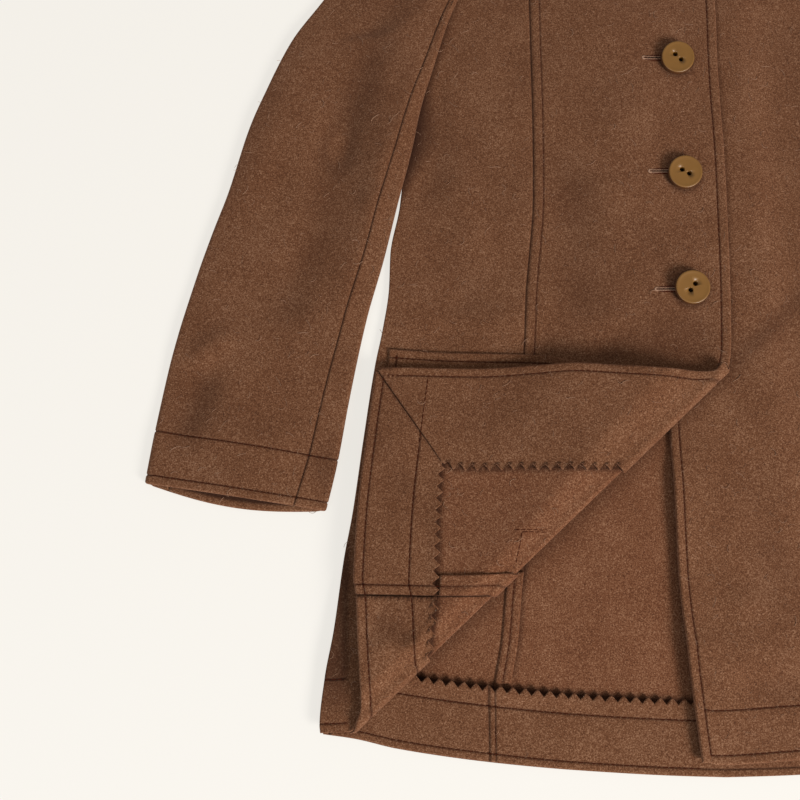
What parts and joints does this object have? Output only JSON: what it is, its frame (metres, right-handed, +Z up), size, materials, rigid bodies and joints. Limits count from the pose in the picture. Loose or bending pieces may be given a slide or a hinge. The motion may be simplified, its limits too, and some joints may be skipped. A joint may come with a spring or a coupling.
{
  "type": "wool coat",
  "caption": "Woman's unlined coat of heavy felted wool, laid flat with one lower front corner folded up and over, patch pockets and flat two-hole buttons",
  "frame": {"origin": "middle of the coat as laid, on the floor under its back", "axes": "+X to the wearer's left, across both sleeves; +Y from the hem to the neck; +Z up, through the layers"},
  "size_m": [0.8784, 0.8414, 0.0187],
  "materials": {
    "felted_wool": "heavy felted wool, mid brown, soft raised nap",
    "coat_button": "caramel brown, satin, with a bevelled rim"
  },
  "bodies": {
    "root": {"back_centre": "felted_wool", "back_side_right": "felted_wool", "back_side_left": "felted_wool", "back_hem_side_right": "felted_wool", "back_hem_centre": "felted_wool", "back_allowance_right": "felted_wool", "front_left_centre": "felted_wool", "front_left_side": "felted_wool", "front_right_centre": "felted_wool", "front_right_side": "felted_wool", "front_right_facing": "felted_wool", "front_right_hem_centre": "felted_wool", "front_right_hem_side": "felted_wool", "front_right_allowance": "felted_wool", "pocket_right": "felted_wool", "pocket_left": "felted_wool", "sleeve_right_top": "felted_wool", "sleeve_right_under": "felted_wool", "sleeve_left_top": "felted_wool", "sleeve_left_under": "felted_wool", "button_1": "coat_button", "button_2": "coat_button", "button_3": "coat_button", "button_4": "coat_button"}
  },
  "joints": []
}
